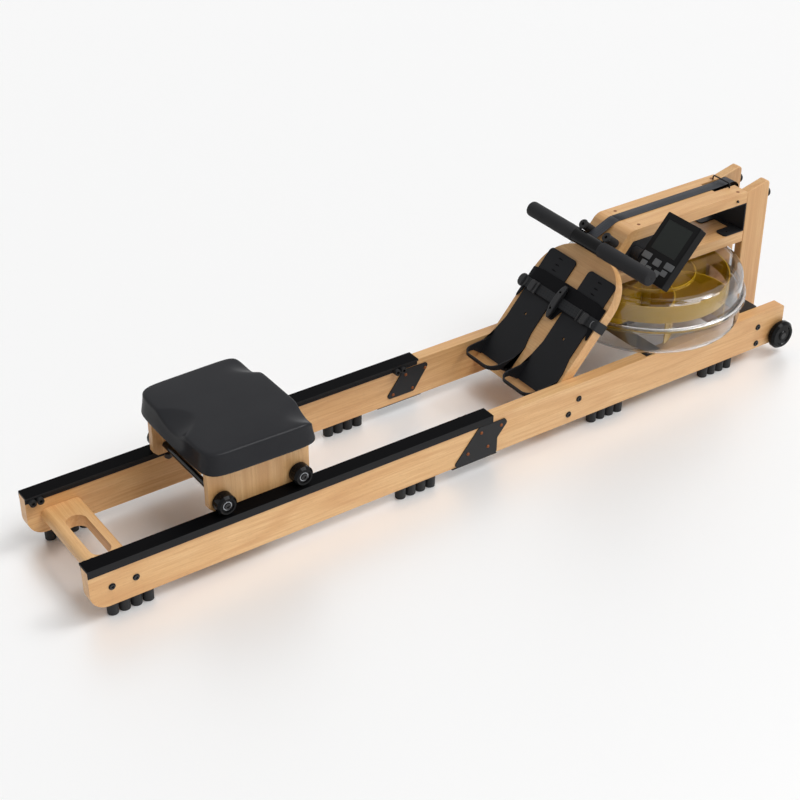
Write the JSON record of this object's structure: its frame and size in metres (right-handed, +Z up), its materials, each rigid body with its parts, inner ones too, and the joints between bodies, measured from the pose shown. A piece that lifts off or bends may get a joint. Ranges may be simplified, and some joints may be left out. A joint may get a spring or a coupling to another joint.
{
  "type": "water rowing machine",
  "caption": "Low wooden rowing machine with a sliding seat, footboard, belt handle, tilting monitor and a clear water tank with an impeller.",
  "frame": {"origin": "centre of the footprint on the floor, at the underside of the rubber feet", "axes": "+X from the seat end to the tank end, +Y to the rower's left, +Z up"},
  "size_m": [2.1006, 0.51, 0.4941],
  "materials": {
    "beech": "satin oiled",
    "black_aluminium": "satin anodised",
    "black_steel": "semi-gloss powder coat",
    "black_bolts": "black oxide",
    "copper_screws": "satin",
    "rubber": "matt",
    "seat_foam": "fine matt grain",
    "seat_pan": "matt",
    "steel_rod": "brushed",
    "wheel_plastic": "glossy",
    "roller_plastic": "matt",
    "footplate_plastic": "satin",
    "band": "matt",
    "webbing": "woven",
    "belt_webbing": "woven",
    "handle_plastic": "glossy",
    "foam": "soft matt",
    "drum_plastic": "satin",
    "rotor_yellow": "satin, slightly translucent",
    "tank_clear": "clear polycarbonate",
    "monitor_case": "satin",
    "button_grey": "matt"
  },
  "bodies": {
    "frame": {"rail_front_left": "beech", "rail_front_right": "beech", "rail_rear_left": "beech", "rail_rear_right": "beech", "track_left": "black_aluminium", "track_right": "black_aluminium", "splice_plates": "black_steel", "wood_screws": "copper_screws", "seat_crossbar": "beech", "frame_bolts": "black_bolts", "rubber_feet": "rubber", "rubber_bumpers": "rubber", "footboard": "beech", "footboard_cleat": "beech", "instep_band": "band", "foot_strap": "webbing", "strap_fittings": "footplate_plastic", "top_board": "beech", "deck_board": "beech", "upright_left": "beech", "upright_right": "beech", "steel_brackets": "black_steel", "rear_crossboard": "beech", "drive_belt": "belt_webbing", "pulley_bracket": "black_steel", "shaft_bearing": "drum_plastic", "tank_upper": "tank_clear", "tank_lower": "tank_clear", "monitor_mount": "black_steel"},
    "carriage": {"seat_cushion": "seat_foam", "seat_tray": "seat_pan", "carriage_side_left": "beech", "carriage_side_right": "beech", "carriage_rods": "steel_rod"},
    "handle": {"handle_bar": "handle_plastic", "handle_grips": "foam"},
    "pulley": {"rear_pulley": "wheel_plastic"},
    "drum": {"belt_drum": "drum_plastic"},
    "rotor": {"impeller": "rotor_yellow"},
    "footrest_left": {"footplate_left": "footplate_plastic"},
    "footrest_right": {"footplate_right": "footplate_plastic"},
    "monitor": {"monitor_body": "monitor_case"},
    "transport_wheel_left": {"transport_wheel_left": "wheel_plastic"},
    "transport_wheel_right": {"transport_wheel_right": "wheel_plastic"},
    "seat_wheel_front_left": {"seat_wheel_front_left": "wheel_plastic"},
    "seat_wheel_front_right": {"seat_wheel_front_right": "wheel_plastic"},
    "seat_wheel_rear_left": {"seat_wheel_rear_left": "wheel_plastic"},
    "seat_wheel_rear_right": {"seat_wheel_rear_right": "wheel_plastic"},
    "guide_roller_front_left": {"guide_roller_front_left": "roller_plastic"},
    "guide_roller_front_right": {"guide_roller_front_right": "roller_plastic"},
    "guide_roller_rear_left": {"guide_roller_rear_left": "roller_plastic"},
    "guide_roller_rear_right": {"guide_roller_rear_right": "roller_plastic"},
    "button_menu": {"button_menu": "button_grey"},
    "button_select": {"button_select": "button_grey"},
    "button_back": {"button_back": "button_grey"},
    "button_time": {"button_time": "button_grey"},
    "button_distance": {"button_distance": "button_grey"},
    "button_count": {"button_count": "button_grey"},
    "button_reset": {"button_reset": "button_grey"}
  },
  "joints": [
    {"name": "seat_slide", "type": "slide", "parent": "frame", "child": "carriage", "axis": [1, 0, 0], "range_m": [-0.308, 0.458]},
    {"name": "seat_wheel_front_left_spin", "type": "hinge", "parent": "carriage", "child": "seat_wheel_front_left", "pos_m": [-0.50025, 0.165, 0.1718], "axis": [0, 1, 0], "continuous": true},
    {"name": "seat_wheel_front_right_spin", "type": "hinge", "parent": "carriage", "child": "seat_wheel_front_right", "pos_m": [-0.50025, -0.165, 0.1718], "axis": [0, 1, 0], "continuous": true},
    {"name": "seat_wheel_rear_left_spin", "type": "hinge", "parent": "carriage", "child": "seat_wheel_rear_left", "pos_m": [-0.70025, 0.165, 0.1718], "axis": [0, 1, 0], "continuous": true},
    {"name": "seat_wheel_rear_right_spin", "type": "hinge", "parent": "carriage", "child": "seat_wheel_rear_right", "pos_m": [-0.70025, -0.165, 0.1718], "axis": [0, 1, 0], "continuous": true},
    {"name": "guide_roller_front_left_spin", "type": "hinge", "parent": "carriage", "child": "guide_roller_front_left", "pos_m": [-0.51025, 0.1347, 0.1327], "axis": [0, 0, 1], "continuous": true},
    {"name": "guide_roller_front_right_spin", "type": "hinge", "parent": "carriage", "child": "guide_roller_front_right", "pos_m": [-0.51025, -0.1347, 0.1327], "axis": [0, 0, 1], "continuous": true},
    {"name": "guide_roller_rear_left_spin", "type": "hinge", "parent": "carriage", "child": "guide_roller_rear_left", "pos_m": [-0.69025, 0.1347, 0.1327], "axis": [0, 0, 1], "continuous": true},
    {"name": "guide_roller_rear_right_spin", "type": "hinge", "parent": "carriage", "child": "guide_roller_rear_right", "pos_m": [-0.69025, -0.1347, 0.1327], "axis": [0, 0, 1], "continuous": true},
    {"name": "handle_pull", "type": "slide", "parent": "frame", "child": "handle", "axis": [-0.9994, 0, 0.0349], "range_m": [0, 1.1], "stiffness_N_per_m": 8, "springref_m": -1.5, "deforming": ["drive_belt"]},
    {"name": "rear_pulley_spin", "type": "hinge", "parent": "frame", "child": "pulley", "pos_m": [0.95275, 0.0115, 0.4325], "axis": [0, 1, 0], "continuous": true},
    {"name": "belt_drum_spin", "type": "hinge", "parent": "frame", "child": "drum", "pos_m": [0.68775, 0, 0.3955], "axis": [0, 0, 1], "continuous": true},
    {"name": "impeller_spin", "type": "hinge", "parent": "frame", "child": "rotor", "pos_m": [0.68775, 0, 0.23], "axis": [0, 0, 1], "continuous": true},
    {"name": "footplate_left_adjust", "type": "slide", "parent": "frame", "child": "footrest_left", "axis": [-0.6561, 0, -0.7547], "range_m": [0, 0.051]},
    {"name": "footplate_right_adjust", "type": "slide", "parent": "frame", "child": "footrest_right", "axis": [-0.6561, 0, -0.7547], "range_m": [0, 0.051]},
    {"name": "monitor_tilt", "type": "hinge", "parent": "frame", "child": "monitor", "pos_m": [0.56225, -0.156, 0.3875], "axis": [0, 1, 0], "range_deg": [-40, 20]},
    {"name": "button_menu_press", "type": "slide", "parent": "monitor", "child": "button_menu", "axis": [0.7478, 0, -0.6639], "range_m": [0, 0.0012], "stiffness_N_per_m": 600, "springref_m": -0.0006},
    {"name": "button_select_press", "type": "slide", "parent": "monitor", "child": "button_select", "axis": [0.7478, 0, -0.6639], "range_m": [0, 0.0012], "stiffness_N_per_m": 600, "springref_m": -0.0006},
    {"name": "button_back_press", "type": "slide", "parent": "monitor", "child": "button_back", "axis": [0.7478, 0, -0.6639], "range_m": [0, 0.0012], "stiffness_N_per_m": 600, "springref_m": -0.0006},
    {"name": "button_time_press", "type": "slide", "parent": "monitor", "child": "button_time", "axis": [0.7478, 0, -0.6639], "range_m": [0, 0.0012], "stiffness_N_per_m": 600, "springref_m": -0.0006},
    {"name": "button_distance_press", "type": "slide", "parent": "monitor", "child": "button_distance", "axis": [0.7478, 0, -0.6639], "range_m": [0, 0.0012], "stiffness_N_per_m": 600, "springref_m": -0.0006},
    {"name": "button_count_press", "type": "slide", "parent": "monitor", "child": "button_count", "axis": [0.7478, 0, -0.6639], "range_m": [0, 0.0012], "stiffness_N_per_m": 600, "springref_m": -0.0006},
    {"name": "button_reset_press", "type": "slide", "parent": "monitor", "child": "button_reset", "axis": [0.7478, 0, -0.6639], "range_m": [0, 0.0012], "stiffness_N_per_m": 600, "springref_m": -0.0006},
    {"name": "transport_wheel_left_spin", "type": "hinge", "parent": "frame", "child": "transport_wheel_left", "pos_m": [1.01075, 0.192, 0.057], "axis": [0, 1, 0], "continuous": true},
    {"name": "transport_wheel_right_spin", "type": "hinge", "parent": "frame", "child": "transport_wheel_right", "pos_m": [1.01075, -0.192, 0.057], "axis": [0, 1, 0], "continuous": true}
  ],
  "couplings": [
    {"joint": "seat_wheel_front_left_spin", "follows": "seat_slide", "rad_per_m": 39.216},
    {"joint": "seat_wheel_front_right_spin", "follows": "seat_slide", "rad_per_m": 39.216},
    {"joint": "seat_wheel_rear_left_spin", "follows": "seat_slide", "rad_per_m": 39.216},
    {"joint": "seat_wheel_rear_right_spin", "follows": "seat_slide", "rad_per_m": 39.216},
    {"joint": "guide_roller_front_left_spin", "follows": "seat_slide", "rad_per_m": 100},
    {"joint": "guide_roller_front_right_spin", "follows": "seat_slide", "rad_per_m": -100},
    {"joint": "guide_roller_rear_left_spin", "follows": "seat_slide", "rad_per_m": 100},
    {"joint": "guide_roller_rear_right_spin", "follows": "seat_slide", "rad_per_m": -100},
    {"joint": "rear_pulley_spin", "follows": "handle_pull", "rad_per_m": -42.735},
    {"joint": "belt_drum_spin", "follows": "handle_pull", "rad_per_m": -30.303},
    {"joint": "impeller_spin", "follows": "handle_pull", "rad_per_m": -30.303}
  ]
}
